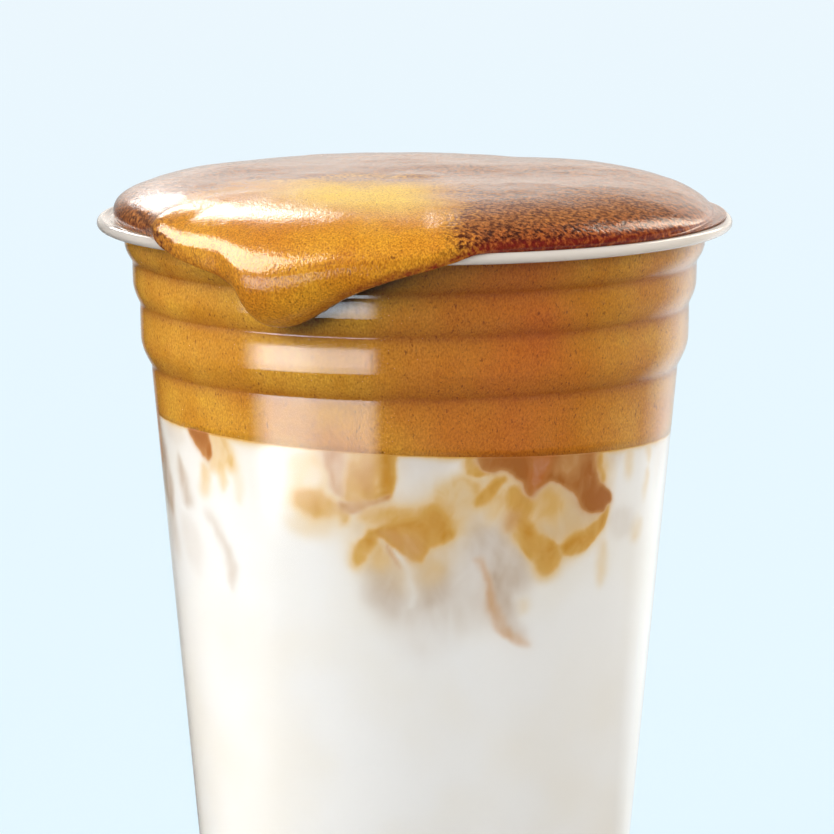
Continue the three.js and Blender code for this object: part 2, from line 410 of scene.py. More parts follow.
# Clouds of coffee in the milk, one painted over the other: kind, strength, softness of the edge in
# mm, and outline as (azimuth, height). "clear" is milk that folds over the coffee again.
CLOUDS = [
    # Wide thin beds
    ("gold", 0.16, 2.6, [(-32, 92), (-3, 92), (-4, 80), (-14, 76), (-31, 79)]),
    ("gold", 0.3, 2.4, [
        (-14, 81), (-2, 83), (3, 85), (18, 88), (19, 82), (10, 75), (6, 70), (-2, 69), (-13, 71),
    ]),
    ("veil", 0.34, 2.6, [
        (-12, 75), (0, 78), (8, 82), (19, 86), (27, 80), (27, 68), (20, 64), (6, 64), (-10, 64),
    ]),
    ("gold", 0.42, 1.8, [
        (14, 92), (47, 92), (50, 82), (48, 75), (38, 72), (31, 69), (24, 75), (18, 81),
    ]),
    # Left side
    ("veil", 0.75, 0.9, [
        (-86, 91), (-79, 90), (-75, 86), (-72.5, 81), (-73, 77), (-78, 76), (-86, 80),
    ]),
    ("brown", 0.55, 0.6, [(-88, 93), (-81, 91.5), (-79, 87), (-80.5, 83), (-88, 83)]),
    ("veil", 0.32, 1.2, [(-78, 78), (-73, 76), (-71, 72), (-73, 69), (-78, 70), (-80, 75)]),
    ("veil", 0.2, 1.0, [(-73, 91.5), (-64, 91), (-61, 88.5), (-66, 87), (-72, 87.5)]),
    ("veil", 0.62, 0.9, [
        (-67, 86.5), (-65, 85), (-62.5, 82), (-60.5, 80), (-60.5, 78.5), (-63, 78), (-66.5, 79),
        (-68.5, 82),
    ]),
    ("gold", 0.42, 1.1, [
        (-53, 92), (-44.5, 92), (-43.5, 89), (-43, 86), (-46, 85.5), (-50, 85), (-53, 84.8),
        (-53.5, 87),
    ]),
    ("gold", 0.4, 0.7, [
        (-54, 86.5), (-52.5, 84), (-53.5, 82), (-55.5, 80.3), (-57.2, 80.6), (-56.7, 83), (-56, 86),
    ]),
    ("gold", 0.34, 0.7, [(-50, 86.5), (-47.5, 86.5), (-47, 83.5), (-48, 81.8), (-49.7, 82.2)]),
    ("gold", 0.2, 0.9, [
        (-44.5, 88), (-42.5, 86.5), (-41.6, 83), (-42.4, 80.2), (-44.4, 80.4), (-44, 83.5), (-46, 86.5),
    ]),
    ("brown", 0.85, 0.45, [
        (-60.5, 93), (-59.5, 90.2), (-57, 89), (-55, 87.3), (-53, 86.6), (-51.2, 87.2), (-51.4, 88.7),
        (-51, 93),
    ]),
    ("veil", 0.45, 0.8, [
        (-55, 78.7), (-52, 77), (-48.5, 74), (-46.3, 71.5), (-45.8, 68.5), (-47, 66.7), (-48.7, 68.5),
        (-49.7, 72), (-53.5, 75.5), (-56.7, 78),
    ]),
    ("veil", 0.18, 1.2, [(-68, 77), (-61, 76), (-58, 72), (-60, 68), (-66, 69), (-69, 73)]),
    # Pale field and golden field, front left
    ("gold", 0.3, 1.3, [
        (-30, 88), (-25, 91), (-20, 90), (-19, 85), (-16.5, 82), (-16.5, 79.5), (-21, 79.2),
        (-27, 79.6), (-30, 81), (-28, 84.5),
    ]),
    ("gold", 0.5, 0.9, [
        (-29, 82.6), (-24, 83.6), (-19, 82.6), (-16.5, 80.5), (-20, 79.3), (-27, 79.9),
    ]),
    ("clear", 0.35, 0.8, [(-23.5, 86.5), (-21, 87), (-21.5, 83.8), (-24.5, 83)]),
    ("gold", 0.2, 1.1, [(-32, 79.5), (-26, 79), (-20, 78.5), (-16, 78.8), (-20, 76.5), (-28, 76.5)]),
    ("gold", 0.62, 0.45, [
        (-16.3, 92), (-2.6, 92), (-3.6, 88.5), (-4.7, 86), (-4.6, 84.3), (-6.5, 82.7), (-10, 82.1),
        (-13, 81.4), (-16.6, 81.6), (-16.3, 85),
    ]),
    ("gold", 0.7, 0.8, [
        (-8, 92), (-3, 92), (-4, 88.5), (-5, 86), (-5.5, 83.6), (-7.6, 83.4), (-7.2, 86.5),
    ]),
    ("gold", 0.6, 0.8, [(-12.4, 88.5), (-9.3, 88), (-9, 84), (-12.6, 83.8)]),
    ("brown", 0.42, 0.4, [
        (-21.3, 91.5), (-15.7, 91.5), (-15.9, 86), (-15.8, 83.3), (-16.9, 82.8), (-19.7, 84.1),
        (-20.3, 86.8),
    ]),
    ("brown", 0.45, 0.3, [
        (-17.2, 82.3), (-13, 82.2), (-9, 82.8), (-6.5, 83.8), (-5.2, 84.4), (-5.8, 82.7), (-9.5, 81.9),
        (-12, 81.1), (-14.5, 80.1), (-16.7, 79.6), (-17.7, 80.8),
    ]),
    ("gold", 0.5, 0.6, [(-17.5, 80.5), (-15.5, 80.3), (-14.6, 79.2), (-15.2, 78), (-16.8, 78.2)]),
    # Folds below them
    ("gold", 0.4, 0.6, [
        (-14, 80), (-10, 81.7), (-5, 82.2), (0, 82), (4, 82.6), (5, 80), (0, 79.3), (-6, 79.2),
        (-11, 78.8),
    ]),
    ("veil", 0.25, 0.5, [
        (-14.5, 78.7), (-10, 80.1), (-4, 80.6), (1, 80.5), (-4, 79.5), (-9, 78.7), (-12.5, 76.5),
    ]),
    ("veil", 0.22, 1.2, [(-3.2, 91), (8, 91), (7, 87), (4, 84), (0.5, 80.5), (-3, 82), (-2.5, 86)]),
    ("gold", 0.36, 1.0, [
        (3.5, 84), (7, 86.8), (12, 86.7), (15.5, 85), (14, 82), (11, 80.3), (11.7, 78), (9, 76.3),
        (6, 76.6), (5, 80),
    ]),
    ("veil", 0.3, 1.2, [(5, 86), (13, 86), (14, 82), (10, 80.5), (5, 81)]),
    ("gold", 0.62, 0.6, [
        (-9.3, 78.5), (-12, 77.2), (-13.9, 75), (-14.7, 72.6), (-13.6, 71.2), (-12.2, 72.1),
        (-10.6, 74.1), (-8.3, 76.3),
    ]),
    ("gold", 0.95, 0.5, [
        (-9.7, 78.1), (-5, 79.2), (0, 79.6), (3, 79), (3.5, 76.5), (2.7, 73.3), (0.6, 72.6),
        (-1.5, 73.6), (-3.5, 74.9), (-6, 75.9), (-8.2, 76.8),
    ]),
    ("gold", 0.62, 0.7, [
        (1.5, 79), (3, 81.6), (5, 81.8), (7, 80.4), (8.3, 78.6), (11, 77.4), (7.5, 76.2), (4.5, 75),
        (2.5, 74.5),
    ]),
    ("brown", 0.34, 0.8, [
        (-9, 77.8), (-5, 78.3), (-1, 77.4), (1.2, 76.8), (2.6, 75), (1.3, 73.1), (-0.6, 73),
        (-2.5, 74.6), (-5.5, 75.9),
    ]),
    ("veil", 0.3, 1.1, [
        (-9.5, 75.5), (-7.5, 75.8), (-5.5, 74), (-4, 71.5), (-3, 68), (-3.5, 64.5), (-7, 64),
        (-10, 66.5), (-11.7, 70), (-11, 73.3),
    ]),
    ("gold", 0.25, 0.8, [(-9.4, 75.3), (-7.8, 75.8), (-6, 74), (-5.3, 72), (-8, 71), (-10.3, 72.6)]),
    ("brown", 0.36, 0.3, [
        (-7, 75.9), (-5.5, 75), (-4.2, 73.3), (-3.4, 71.8), (-4.7, 72.4), (-5.8, 74),
    ]),
    ("veil", 0.36, 1.0, [
        (0.4, 72.4), (3, 73.3), (6.7, 72.7), (9.5, 70), (8, 67.5), (3, 65.5), (0.8, 67), (0.5, 70),
    ]),
    ("gold", 0.2, 0.9, [(2, 73), (6, 73.3), (7, 71), (5, 69.2), (2, 70)]),
    ("clear", 0.85, 0.35, [
        (-5, 75.4), (-3, 74.2), (-1.2, 72.3), (0.3, 70), (0.4, 65.5), (-1.3, 65.5), (-1.7, 70),
        (-2.9, 72.4),
    ]),
    ("clear", 0.5, 0.3, [(7.5, 68.2), (9, 70.2), (11, 71.2), (9, 69.3)]),
    ("veil", 0.14, 2.0, [(-6, 65.5), (12, 66.5), (10, 60), (2, 57), (-4, 59)]),
    # Brown mass, front right
    ("veil", 0.3, 1.2, [
        (14, 80), (20, 78.5), (26, 77.5), (27, 72), (29, 69), (22, 68), (16, 72), (13, 76),
    ]),
    ("gold", 0.62, 0.4, [
        (8.3, 92), (14, 92), (15, 88.2), (17, 87), (18.7, 86.5), (14, 86.2), (10.3, 87),
    ]),
    ("brown", 0.82, 0.45, [
        (12.8, 92), (45.5, 92.5), (45, 88), (44, 85.7), (46.5, 84.2), (49.5, 82.2), (50.4, 80),
        (47, 78.8), (43, 79.5), (40, 80.9), (36.5, 83), (33.5, 84.3), (31.5, 84.5), (30, 83.9),
        (28.5, 82.7), (27, 82), (25.8, 82.9), (24.8, 84.8), (22, 86), (19.5, 87.3), (18, 86.5),
        (16, 86.9), (14, 88),
    ]),
    ("gold", 0.45, 0.9, [(32.5, 92), (40, 92.5), (40, 87), (38, 84.5), (33.5, 85.2)]),
    ("red", 0.45, 1.0, [
        (26.6, 92), (31.6, 92), (32, 87), (31.2, 84.9), (29.6, 84.1), (28, 82.8), (26.8, 83.6),
        (26.2, 87),
    ]),
    ("brown", 0.65, 0.8, [(39, 82.6), (46, 83), (49.6, 81.4), (49.8, 79.8), (46, 79.2), (41, 80.4)]),
    ("gold", 0.5, 0.6, [
        (42.6, 92.5), (47, 92), (46.3, 88), (45.8, 86), (48, 84.2), (46, 83.6), (43, 85.7),
    ]),
    ("gold", 0.66, 0.4, [
        (19.8, 86.2), (16, 84.8), (13.5, 82.6), (13.2, 81.5), (15.3, 81.1), (17, 82.1), (18.7, 84.3),
        (20.7, 85.5),
    ]),
    ("gold", 0.42, 0.4, [
        (20.2, 84.5), (18, 82.5), (16.7, 80.5), (16.5, 78.9), (18, 78.4), (19.4, 79.7), (20.6, 82),
    ]),
    ("gold", 0.6, 0.5, [
        (20.3, 84.3), (23, 84.8), (25, 83.3), (28, 82), (26, 79.5), (24, 77.8), (21.8, 77.2),
        (20.6, 78.3), (20.8, 81),
    ]),
    ("brown", 0.4, 0.6, [(21, 81), (23.6, 80.2), (24, 78), (21.9, 77.3), (20.8, 78.5)]),
    ("gold", 0.64, 0.5, [
        (25, 79), (29, 77), (31.5, 76.3), (34.7, 75), (35.2, 72.5), (33.6, 70.4), (31.8, 69),
        (29.5, 69.8), (28, 71.8), (24.5, 74), (22.3, 76.5), (23.5, 78),
    ]),
    ("veil", 0.55, 0.55, [
        (27.3, 82.4), (29.5, 83.7), (32, 84.3), (35, 83.2), (39, 81.2), (43, 79.4), (46, 78.7),
        (48.6, 78.6), (46, 77), (41, 75.7), (35, 75.2), (30, 76), (27.5, 78.5),
    ]),
    ("gold", 0.34, 1.0, [(27.5, 82.2), (30, 83.6), (34, 83), (36, 80.5), (33, 78), (28, 78)]),
    ("gold", 0.78, 0.35, [
        (49.7, 80.2), (50.2, 78), (47.4, 75.5), (43, 73.1), (38.5, 72.1), (35.3, 72.9), (34.5, 74.1),
        (37, 75.7), (41, 76.4), (45, 77.5), (48, 79),
    ]),
    ("clear", 0.35, 0.25, [
        (34.7, 74.8), (36, 73.4), (38.2, 72.3), (38.6, 71.8), (36, 72.4), (34.4, 73.9),
    ]),
    ("brown", 0.3, 0.5, [
        (13.6, 74), (15.6, 73.4), (17, 71), (18.5, 68.5), (20, 66), (22.5, 63.5), (26, 61.3),
        (29.5, 59.8), (28.7, 59.1), (24, 60.1), (20.3, 62.2), (18, 65), (16.5, 68), (14.8, 71),
    ]),
    ("veil", 0.4, 0.9, [
        (17, 71.5), (20, 70.5), (23, 67), (25, 63.5), (29, 61), (24, 61.2), (20.5, 64), (18.5, 68),
    ]),
    ("gold", 0.2, 0.8, [(24.5, 67), (27, 67.2), (27.5, 65), (25, 64.6)]),
    # Right side
    ("veil", 0.35, 1.0, [(46.5, 91), (53, 91), (53, 87.5), (50, 85.5), (47, 86.5)]),
    ("gold", 0.34, 0.7, [
        (53.3, 92), (58, 91.5), (58.2, 87), (57.7, 84.5), (56, 82.7), (54.3, 84), (54.7, 87),
    ]),
    ("gold", 0.36, 0.8, [(59.5, 92), (65, 91.5), (66.7, 87.5), (66, 84.7), (63.7, 86.5), (62, 88.5)]),
    ("gold", 0.28, 0.8, [(64.3, 84.5), (67, 83.5), (66.4, 79.6), (64, 79)]),
    ("veil", 0.24, 1.2, [(67, 91), (75, 91), (77, 84), (73, 80), (69, 84)]),
    ("veil", 0.22, 1.0, [(50, 79), (58, 79), (62, 76), (57, 73.5), (51, 75)]),
    ("gold", 0.3, 0.9, [(46.7, 74.3), (50.3, 74.2), (50.8, 70), (50.2, 66.7), (47.2, 66.8)]),
    ("gold", 0.24, 1.0, [(59, 76.5), (64.5, 76.5), (65, 73), (60, 72.5)]),
]
CLOUD_KINDS = ("veil", "gold", "brown", "red")
# The clouds go round the cup: middle azimuth and spread of each turn of them, mirrored if negative.
CLOUD_TURNS = [(0, 1.0), (140, -0.62), (-142, 0.60)]
CLOUD_REACH = 94
# How far large swirls and small eddies push the clouds, in mm, and how much streaks vary them
SWIRL, EDDY, STREAK = 0.5, 0.45, 0.22
# A veil hides less of what lies under it than the other clouds do.
VEIL_COVER = 0.35


def softened(points, rounds=2):
    """A closed outline with its corners cut, so that it curves."""
    outline = np.array(points, float)
    for _ in range(rounds):
        following = np.roll(outline, -1, axis=0)
        near = 0.75 * outline + 0.25 * following
        far = 0.25 * outline + 0.75 * following
        outline = np.stack([near, far], axis=1).reshape(-1, 2)
    return outline


def depth_inside(places, outline):
    """Distance of each place from a closed outline, positive inside."""
    nearest = np.full(len(places), 1e9)
    inside = np.zeros(len(places), bool)
    for start, end in zip(outline, np.roll(outline, -1, axis=0)):
        step = end - start
        along = np.clip(((places - start) @ step) / max(step @ step, 1e-9), 0, 1)
        away = places - start - along[:, None] * step
        nearest = np.minimum(nearest, (away ** 2).sum(axis=1))
        crosses = (start[1] > places[:, 1]) != (end[1] > places[:, 1])
        if step[1] != 0:
            meets = start[0] + (places[:, 1] - start[1]) / step[1] * step[0]
            inside ^= crosses & (places[:, 0] < meets)
    return np.sqrt(nearest) * np.where(inside, 1, -1)


def blurred(values, rounds):
    """An array laid out as the milk's sections, [azimuth, row], smoothed a number of times."""
    for _ in range(rounds):
        values = (np.roll(values, 1, axis=0) + 2 * values + np.roll(values, -1, axis=0)) / 4
        padded = np.pad(values, ((0, 0), (1, 1)), mode="edge")
        values = (padded[:, :-2] + 2 * values + padded[:, 2:]) / 4
    return values


def marble(piece, radii, heights, azimuths):
    """Gives the milk's skin its shares of each kind of cloud."""
    spread = np.repeat(((azimuths + 180) % 360 - 180)[:, None], radii.shape[1], axis=1)
    places = surface_places(radii, heights, azimuths)
    # Millimetres of the milk's side in a degree of azimuth, at the middle of the clouds
    around = math.radians(1) * (float(wall_radius(78)) - WALL)
    # Eddies push the clouds about, in large swirls and small ones.
    shift, lift = [
        SWIRL * Grain(seed).at(places, 7) + EDDY * Grain(seed + 1).layered(places, 2.6, 3)
        for seed in (11, 13)
    ]
    # Streaks are drawn out along the fall.
    streaks = STREAK * Grain(15).layered(places * np.array([1, 1, 0.3]), 1.1, 2)
    shares = {kind: np.zeros_like(radii) for kind in CLOUD_KINDS}
    for middle, scale in CLOUD_TURNS:
        turned = (spread - middle + 180) % 360 - 180
        chosen = (np.abs(turned) < CLOUD_REACH * abs(scale)) & (heights > MARBLING_FLOOR)
        flat = np.stack([turned * around / scale + shift, heights + lift], axis=-1)[chosen]
        ragged = 1 + streaks[chosen]
        for kind, strength, softness, points in CLOUDS:
            outline = softened(points) * np.array([around, 1])
            low, high = outline.min(axis=0) - 2 * softness, outline.max(axis=0) + 2 * softness
            near = ((flat > low) & (flat < high)).all(axis=1)
            index = np.flatnonzero(chosen.ravel())[near]
            cover = smooth(depth_inside(flat[near], outline), -1.3 * softness, 1.2 * softness)
            cover = np.clip(strength * cover * ragged[near], 0, 1)
            for share in shares.values():
                share.ravel()[index] *= 1 - (VEIL_COVER * cover if kind == "veil" else cover)
            if kind in shares:
                shares[kind].ravel()[index] += cover
    # Some edges stay crisp and others have spread.
    spreading = smooth(Grain(17).at(places, 5) + 0.3 * Grain(18).at(places, 2), -0.6, 0.5)
    for kind, share in shares.items():
        shares[kind] = mix(share, blurred(share, 6), spreading)
    # The foam's edge bleeds into the milk a little.
    level = level_height(float(wall_radius(LEVEL_HEIGHT)), azimuths)[:, None]
    depth = 0.35 + 0.25 * Grain(16).at(places, 5)
    bleed = np.exp(-np.maximum(0, level - heights) / depth)
    shares["gold"] = np.maximum(shares["gold"], 0.9 * bleed)
    for kind, share in shares.items():
        give(piece, kind, np.clip(share, 0, 1))


def make_milk(material):
    azimuths = np.linspace(0, 360, MILK_COLUMNS, endpoint=False)
    inset = WALL - REACH
    low = foot_section(inset, 1.6, 0.6)
    plain = wall_section(FOOT_HEIGHT + 3, MARBLING_FLOOR, inset, 7)
    edge = level_height(float(wall_radius(LEVEL_HEIGHT)), azimuths)
    rows = np.linspace(0, 1, MILK_ROWS)[1:]
    marbled = MARBLING_FLOOR + (edge[:, None] - MARBLING_FLOOR) * rows[None, :]
    fixed = np.array(low + plain)
    top = np.array(LEVEL_ROWS)
    edge_radius = wall_radius(edge) - inset
    radii = np.concatenate([
        np.tile(fixed[:, 0], (MILK_COLUMNS, 1)),
        wall_radius(marbled) - inset,
        edge_radius[:, None] * top[None, :],
    ], axis=1)
    heights = np.concatenate([
        np.tile(fixed[:, 1], (MILK_COLUMNS, 1)),
        marbled,
        LEVEL_HEIGHT + (edge[:, None] - LEVEL_HEIGHT) * top[None, :],
    ], axis=1)
    piece = round_skin("milk_body", radii, heights, azimuths, material)
    marble(piece, radii, heights, azimuths)
    return piece


# Foam


def spill_bell(shape, azimuth):
    away = azimuth - SPILL_AZIMUTH
    width, sharpness = shape["left"] if away < 0 else shape["right"]
    return math.exp(-(abs(away) / width) ** sharpness)


def hump(azimuths, middle, width):
    """1 at a middle azimuth, and less to both sides of it."""
    away = (azimuths - middle + 180) % 360 - 180
    return np.exp(-(away / width) ** 2)


class Way:
    """A path through points, asked for places by distance."""

    def __init__(self, points):
        self.points = np.array(points, float)
        steps = np.linalg.norm(np.diff(self.points, axis=0), axis=1)
        self.distances = np.concatenate([[0], np.cumsum(steps)])
        self.length = self.distances[-1]

    def at(self, distance):
        return np.array([np.interp(distance, self.distances, self.points[:, k]) for k in (0, 1)])

    def direction(self, distance):
        ahead = self.at(min(distance + 0.02, self.length)) - self.at(max(distance - 0.02, 0))
        return ahead / np.linalg.norm(ahead)


def rim_way(clear):
    """Way of the foam's underside over the rim, at a distance from the plastic."""
    (near, shallow), (far, deep) = THROAT
    over_bead = arc((BEAD_CENTRE, BEAD_HEIGHT), BEAD_RADIUS + clear, 90, 0, 24)
    # It comes down on the bead a little before the bead's top.
    over_bead[0][0] = BEAD_CENTRE - 0.4
    return Way([
        [float(wall_radius(COLLAR_TOP)) - WALL - clear, COLLAR_TOP],
        [FLANGE_INNER - far - clear, FLANGE_TOP - deep + clear / 3],
        [FLANGE_INNER - near - clear / 2, FLANGE_TOP - shallow + clear],
        [FLANGE_INNER, FLANGE_TOP + clear],
        *over_bead,
        [BEAD_CENTRE + BEAD_RADIUS + clear, COLLAR_TOP],
    ])


INNER_SPACING = 1.3
CONTACT_POINTS = 12
UNDERSIDE_POINTS = 6
LOWER_POINTS = 14
UPPER_POINTS = 96
FOAM_COLUMNS = 490
# The foam on the rim sinks a little into the plastic, so that no air shows between.
CONTACT_CLEARANCE = -0.05


def foam_section(azimuth, way, inner_rows):
    """Outline of the foam at one azimuth: its floor, its side in the cup, its way over the rim, the
    underside and the round of its edge, and its top up to the axis."""
    tongue = spill_bell(TONGUE, azimuth)
    drop = TONGUE["drop"] * tongue + SHEET["drop"] * spill_bell(SHEET, azimuth)
    spilling = float(smooth(drop, SPILL_START, SPILL_FULL))
    bare = BARE_FLANGE["depth"] * hump(azimuth, BARE_FLANGE["azimuth"], BARE_FLANGE["width"])
    edge_radius = EDGE_RADIUS - bare * (1 - spilling)
    # The way's fourth point is the flange's inner edge.
    dry = way.distances[3] + edge_radius - EDGE_OVERHANG - FLANGE_INNER
    bend = (way.length - dry) / CREEP
    spilt = max(0, drop - SPILL_START)
    end = dry + CREEP * min(spilt, bend)
    below = max(0, spilt - bend)
    leave = way.at(end)
    along = way.direction(min(end, way.length - 0.05))
    lean = float(smooth(below, 1, TONGUE_LEAN))
    tip = np.array([
        leave[0] + TIP_REACH * along[0] - SPILL_THICKNESS * along[1],
        leave[1] + TIP_REACH * along[1] + SPILL_THICKNESS * along[0] - below,
    ])
    outermost = tip[0] + mix(*LIP_REACH, spilling) + TONGUE_BULGE * tongue
    tip[0] = mix(tip[0], float(wall_radius(tip[1])) + TONGUE_CLEARANCE, lean)
    widest = np.array([
        max(edge_radius, outermost) - SKIRT["depth"] * hump(azimuth, SKIRT["azimuth"], SKIRT["width"]),
        mix(EDGE_HEIGHT, tip[1] + LIP_RISE + LIP_SHARE * below, spilling),
    ])
    # The floor follows the milk's level, and the rows just above it close up to it.
    level = float(level_height(float(wall_radius(LEVEL_HEIGHT)), azimuth))
    section = [[0.0, LEVEL_HEIGHT]]
    shares = (inner_rows - inner_rows[0]) / (inner_rows[-1] - inner_rows[0])
    lift = (level - inner_rows[0]) * np.clip(1 - shares * 6, 0, 1)
    rows = inner_rows + lift
    section += [[float(r), float(z)] for r, z in zip(wall_radius(rows) - WALL + REACH, rows)]
    for i in range(1, CONTACT_POINTS + 1):
        section.append(list(way.at(end * i / CONTACT_POINTS)))
    hollow = np.array([tip[0] - 0.6 * lean, mix(tip[1], leave[1], 0.35)])
    for i in range(1, UNDERSIDE_POINTS + 1):
        t = i / UNDERSIDE_POINTS
        point = (1 - t) ** 2 * leave + 2 * t * (1 - t) * hollow + t ** 2 * tip
        section.append([max(point[0], float(wall_radius(point[1])) + 0.2 * lean), point[1]])
    for i in range(1, LOWER_POINTS + 1):
        turn = math.pi / 2 * (1 - i / LOWER_POINTS)
        section.append([mix(tip[0], widest[0], math.cos(turn)), mix(widest[1], tip[1], math.sin(turn))])
    fullness = 2 * mix(SHOULDER_LEFT, SHOULDER_RIGHT, (1 + math.sin(math.radians(azimuth))) / 2)
    turns = np.linspace(0, 1, 400) * math.pi / 2
    curve = Way(np.stack([
        widest[0] * np.cos(turns) ** (2 / DOME_FLATNESS),
        widest[1] + (DOME_TOP - widest[1]) * np.sin(turns) ** fullness,
    ], axis=1))
    # Closer together at the shoulder, where the skin turns.
    for i in range(1, UPPER_POINTS + 1):
        share = i / UPPER_POINTS
        section.append(list(curve.at(curve.length * mix(share, share ** 1.6, 0.6))))
    section[-1][0] = 0.0
    return section


# Zones of the foam, in mm and degrees. A pair is the range over which something comes in or fades.
FRONT = (-8, 44)
# The strip of fresh foam, at the back of that range and at the front of it
FRESH_MIDDLE, FRESH_HALF_WIDTH, FRESH_FADING = (-9, -17), (15, 24), (14, 6)
FRESH_END, FRESH_WANDER = (-8, 20), 3.0
CROWN_RADIUS, CROWN_LEFT, CROWN_RIGHT = (30, 44), (-27, -12), (-6, 10)
UNDER_DEPTH, UNDER_MIDDLE, UNDER_WIDTH = (0.4, 2.0), 12, 38
SHADE_TIP, SHADE_SPILL, SHADE_SIDE, SHADE_DEPTH = 119.5, (0, 3), (-32, -14), 1.7
ROAST_TOP, ROAST_DEPTH, ROAST_MIDDLE, ROAST_WIDTH = 125.6, (0, 2.2), 30, 34
CREASE_RISE, CREASE_WIDTH = 0.2, 0.9
# Darker foam, its tone and at the front right painted shade: middle azimuth, width and strength
DARKER_FOAM_AND_SHADE = [(21, 21, 0.9), (138, 30, 0.8), (-128, 24, 0.7)]


def foam_zones(places, radii, heights, azimuths, first_skin):
    """Shares of each kind of foam, by name, laid out as the foam's sections."""
    x, y = places[..., 0], places[..., 1]
    around = azimuths[:, None]
    row = np.arange(radii.shape[1])[None, :]
    in_cup = np.where(row < first_skin - UNDERSIDE_POINTS, 1.0, 0.0) * np.ones_like(radii)
    wander = FRESH_WANDER * Grain(5).layered(places, 9, 3)
    front = smooth(-y, *FRONT)
    middle = mix(*FRESH_MIDDLE, front)
    half = mix(*FRESH_HALF_WIDTH, front)
    fading = mix(*FRESH_FADING, front)
    fresh = 1 - smooth(np.abs(x - middle + wander), half - fading, half + fading)
    fresh = fresh * smooth(-y + 2 * wander, *FRESH_END)
    crust = 1 - np.maximum(fresh, in_cup)
    # The wet film has drained off the crown of the fresh foam.
    crown = fresh * (1 - smooth(radii, *CROWN_RADIUS)) * (1 - in_cup)
    crown = crown * smooth(x, *CROWN_LEFT) * (1 - smooth(x + wander, *CROWN_RIGHT))
    # Darker crimson along the lowest mm of the edge, most of it at the front right, and painted shadow
    # on the foam below it
    tip = heights[:, first_skin - 1:first_skin]
    under = (1 - smooth(heights - tip, *UNDER_DEPTH)) * (1 - in_cup)
    under = under * (0.3 + 0.7 * hump(around, UNDER_MIDDLE, UNDER_WIDTH))
    spilt = smooth(SHADE_TIP - tip, *SHADE_SPILL) * smooth(around, *SHADE_SIDE)
    shaded = spilt * np.exp(-(np.maximum(0, tip - heights) / SHADE_DEPTH) ** 2) * in_cup
    roasted = smooth(ROAST_TOP - heights, *ROAST_DEPTH) * crust
    roasted = roasted * (0.3 + 0.7 * hump(around, ROAST_MIDDLE, ROAST_WIDTH))
    # Darker foam in places round the cup; at the front right it is partly painted shade
    deep = sum(strength * hump(around, middle, width) for middle, width, strength in DARKER_FOAM_AND_SHADE)
    deep = np.clip(deep + 0.22 * Grain(6).layered(places, 9, 2), 0, 1)
    # Darker bands along the steps' creases, partly thicker foam and partly painted shade
    creases = [start + CREASE_RISE for start, _, _, _ in STEPS]
    crease = sum(np.exp(-((heights - height) / CREASE_WIDTH) ** 2) for height in creases)
    return {
        "in_cup": in_cup,
        "deep": deep * in_cup,
        "crease": crease * in_cup,
        "shaded": shaded,
        "crust": crust,
        "roasted": roasted,
        "crown": crown,
        "under": under,
    }


def make_foam(material):
    azimuths = (np.linspace(0, 360, FOAM_COLUMNS, endpoint=False) + 180) % 360 - 180
    way = rim_way(CONTACT_CLEARANCE)
    inner_rows = np.array(wall_stations(LEVEL_HEIGHT, COLLAR_TOP - 0.2, INNER_SPACING))
    sections = np.array([foam_section(azimuth, way, inner_rows) for azimuth in azimuths])
    radii, heights = sections[..., 0], sections[..., 1]
    places = surface_places(radii, heights, azimuths)
    # The top swells and sinks a little.
    first_skin = radii.shape[1] - UPPER_POINTS - LOWER_POINTS
    skin = smooth(np.arange(radii.shape[1])[None, :], first_skin, first_skin + LOWER_POINTS)
    swell = SWELL * Grain(3).at(places, 14) + RIPPLE * Grain(4).layered(places, 4, 2) - SWELL_SINK
    heights = heights + skin * swell * smooth(radii, 0, 6)
    piece = round_skin("foam_body", radii, heights, azimuths, material)
    for name, shares in foam_zones(places, radii, heights, azimuths, first_skin).items():
        give(piece, name, shares)
    return piece


# Materials


def new_material(name):
    made = bpy.data.materials.new(name)
    made.use_nodes = True
    made.node_tree.nodes.clear()
    return made, made.node_tree


def painted(tree, colour, *layers):
    """A colour with others laid over it, each layer a share and a colour. A colour is a hex value or
    a node."""
    if isinstance(colour, str):
        colour = linear(colour)
    for share, over in layers:
        if isinstance(over, str):
            over = linear(over)
        colour = node(tree, "ShaderNodeMix", {"Factor": share, 6: colour, 7: over}, data_type="RGBA")
    return colour


def clear_pet():
    # Clear PET, thermoformed: glassy and smooth, with bright edges where it is seen on end. Lamps
    # shine through it as through a pane, and don't have to find their way by refraction.
    made, tree = new_material("clear_pet_thermoformed")
    body = node(tree, "ShaderNodeBsdfPrincipled", {
        "Base Color": linear("FBFDFD"),
        "Roughness": 0.09,
        "IOR": 1.57,
        "Transmission Weight": 1.0,
    })
    pane = node(tree, "ShaderNodeBsdfTransparent", {"Color": linear("F4F7F8")})
    shadow = node(tree, "ShaderNodeLightPath").outputs["Is Shadow Ray"]
    shown = node(tree, "ShaderNodeMixShader", {0: shadow, 1: body, 2: pane})
    node(tree, "ShaderNodeOutputMaterial", {"Surface": shown})
    return made


def rolled_rim_pet():
    # The same PET rolled and stretched at the rim: milky white, barely see-through, and glossy.
    # The white is partly the stretched PET's own and partly painted glow standing in for the light
    # caught inside the bead.
    made, tree = new_material("rolled_rim_pet")
    body = node(tree, "ShaderNodeBsdfPrincipled", {
        "Base Color": linear("F2ECE4"),
        "Roughness": 0.08,
        "IOR": 1.5,
        "Transmission Weight": 0.25,
    })
    node(tree, "ShaderNodeOutputMaterial", {"Surface": body})
    return made


# Widths of what shows in the milk and the foam
THREAD, DRIFT = 3.2 * MM, 16 * MM
GRAIN, PIT, BLOTCH, CLOUD = 0.25 * MM, 0.42 * MM, 0.65 * MM, 9 * MM
